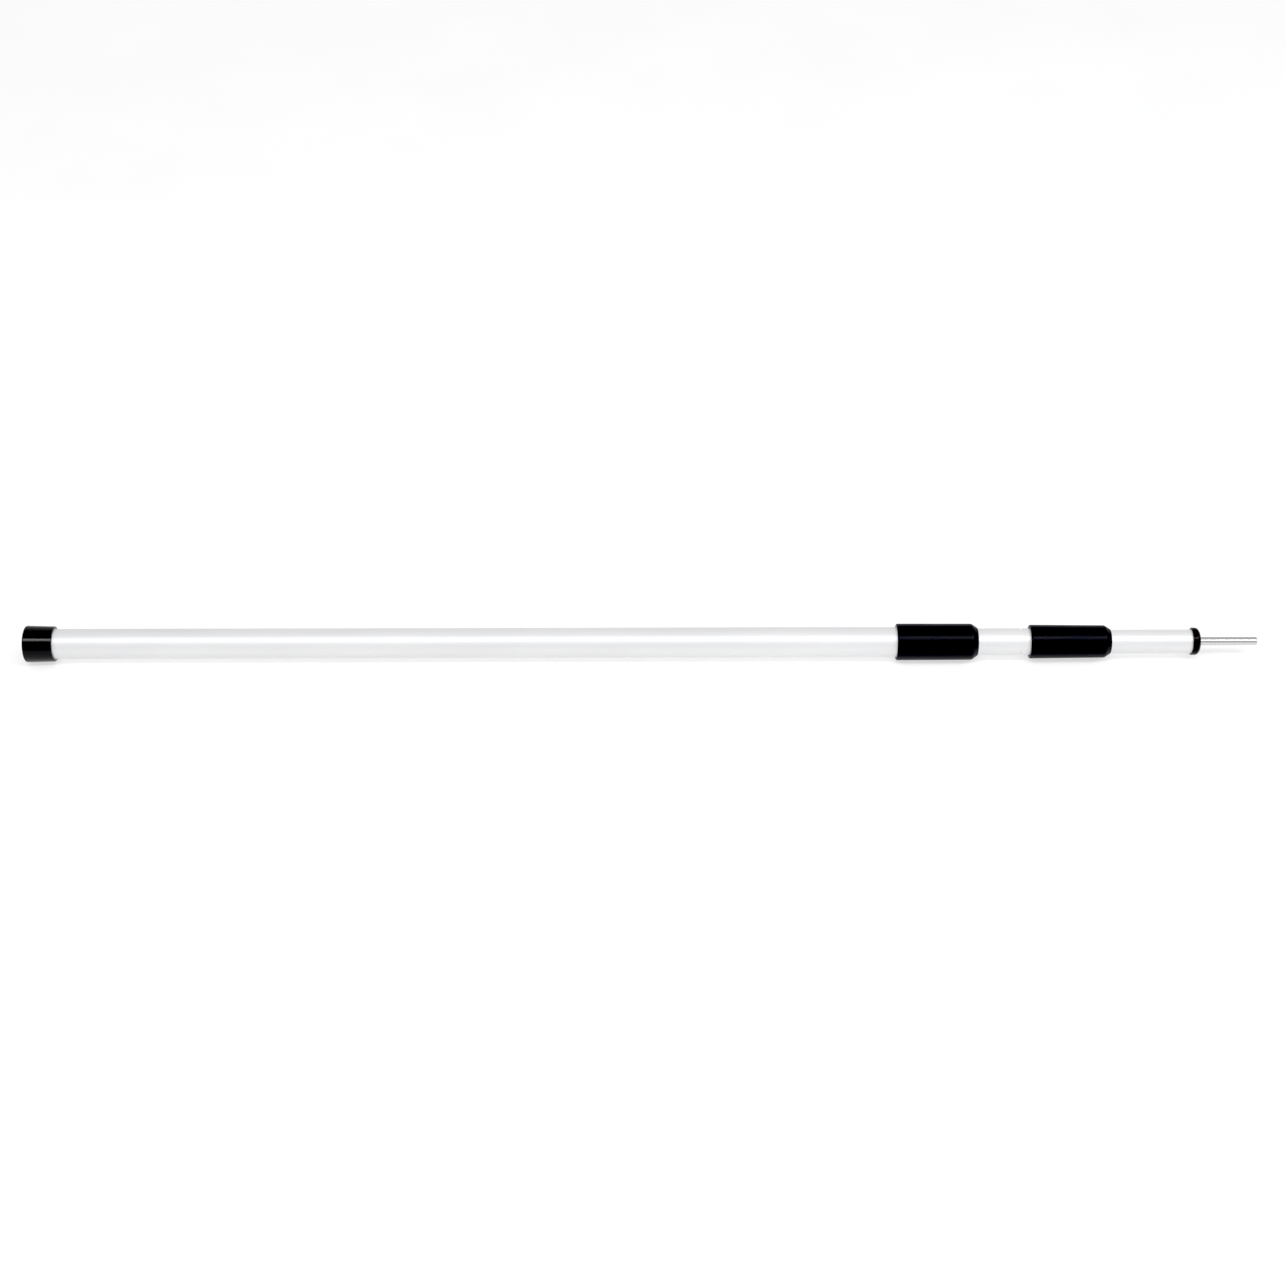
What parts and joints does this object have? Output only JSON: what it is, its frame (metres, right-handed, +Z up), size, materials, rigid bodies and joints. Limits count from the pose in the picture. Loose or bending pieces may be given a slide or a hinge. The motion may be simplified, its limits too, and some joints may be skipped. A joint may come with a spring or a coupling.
{
  "type": "roller extension pole",
  "caption": "Telescopic metal pole with black twist-lock sleeves, a slip-over foot cap, and a flanged end plug that carries a plain steel spigot pin.",
  "frame": {"origin": "centre of the foot cap's flat base, on the pole's axis", "axes": "+X along the pole from the foot to the spigot pin; +Z up with the pole lying level"},
  "size_m": [1.14, 0.034, 0.034],
  "materials": {
    "tube_aluminium": "satin",
    "sleeve_black": "satin",
    "cap_black": "gloss",
    "plug_black": "satin",
    "guide_nylon": "satin",
    "lock_plastic": "matte",
    "cam_acetal": "satin",
    "zinc_steel": "satin",
    "spring_steel": "satin",
    "pin_steel": "polished"
  },
  "bodies": {
    "outer_section": {"foot_cap": "cap_black", "foot_washer": "zinc_steel", "outer_tube": "tube_aluminium", "outer_sleeve": "sleeve_black"},
    "outer_guide": {"outer_guide_ring": "guide_nylon"},
    "middle_section": {"middle_tube": "tube_aluminium", "middle_lock_plug": "lock_plastic", "middle_plug_pins": "spring_steel", "middle_cam_washer": "zinc_steel", "middle_cam_screw": "zinc_steel", "middle_sleeve": "sleeve_black"},
    "middle_cam": {"middle_cam_ring": "cam_acetal"},
    "middle_guide": {"middle_guide_ring": "guide_nylon"},
    "inner_section": {"inner_tube": "tube_aluminium", "inner_lock_plug": "lock_plastic", "inner_plug_pins": "spring_steel", "inner_cam_washer": "zinc_steel", "inner_cam_screw": "zinc_steel", "tip_plug": "plug_black", "spigot_pin": "pin_steel", "pin_push_nut": "spring_steel"},
    "inner_cam": {"inner_cam_ring": "cam_acetal"}
  },
  "joints": [
    {"name": "middle_twist", "type": "hinge", "parent": "outer_section", "child": "outer_guide", "pos_m": [0.8759, 0, 0], "axis": [1, 0, 0], "range_deg": [0, 44]},
    {"name": "middle_slide", "type": "slide", "parent": "outer_guide", "child": "middle_section", "axis": [1, 0, 0], "range_m": [0, 0.7815]},
    {"name": "middle_cam_turn", "type": "hinge", "parent": "middle_section", "child": "middle_cam", "pos_m": [0.0167, 0.0006, 0], "axis": [1, 0, 0], "range_deg": [-44, 0]},
    {"name": "inner_twist", "type": "hinge", "parent": "middle_section", "child": "middle_guide", "pos_m": [0.9989, 0, 0], "axis": [1, 0, 0], "range_deg": [0, 44]},
    {"name": "inner_slide", "type": "slide", "parent": "middle_guide", "child": "inner_section", "axis": [1, 0, 0], "range_m": [0, 0.846]},
    {"name": "inner_cam_turn", "type": "hinge", "parent": "inner_section", "child": "inner_cam", "pos_m": [0.0625, 0.0006, 0], "axis": [1, 0, 0], "range_deg": [-44, 0]}
  ],
  "couplings": [
    {"joint": "middle_cam_turn", "follows": "middle_twist", "ratio": -1},
    {"joint": "inner_cam_turn", "follows": "inner_twist", "ratio": -1}
  ]
}
